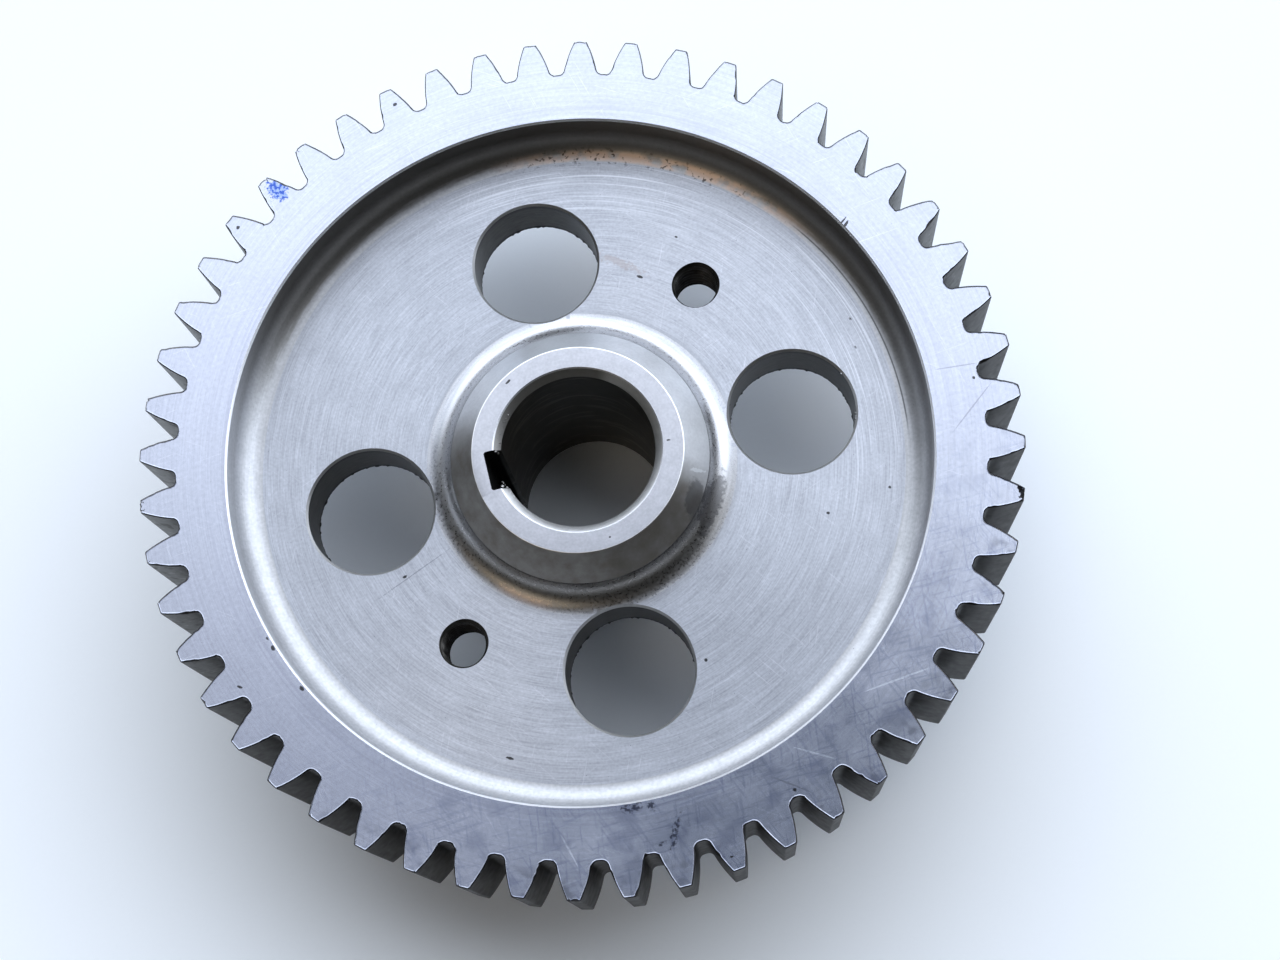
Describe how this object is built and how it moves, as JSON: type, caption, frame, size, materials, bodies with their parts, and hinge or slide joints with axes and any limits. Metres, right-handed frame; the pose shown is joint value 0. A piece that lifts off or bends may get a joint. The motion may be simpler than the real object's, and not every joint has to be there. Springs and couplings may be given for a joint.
{
  "type": "spur gear",
  "caption": "One-piece steel spur gear with a recessed web, keyed hub bore, round lightening holes and tapped jacking holes.",
  "frame": {"origin": "centre of the hub's rear end face, where the gear rests when it lies face up", "axes": "+Z along the gear's axis towards its front, the side with the short hub; the keyway is on -X; a tooth is centred on each of +X, -X, +Y and -Y"},
  "size_m": [0.1372, 0.1372, 0.0397],
  "materials": {
    "gear_steel": "fine-turned hardened steel, satin, with dark oiled flanks"
  },
  "bodies": {
    "root": {"spur_gear": "gear_steel"}
  },
  "joints": []
}
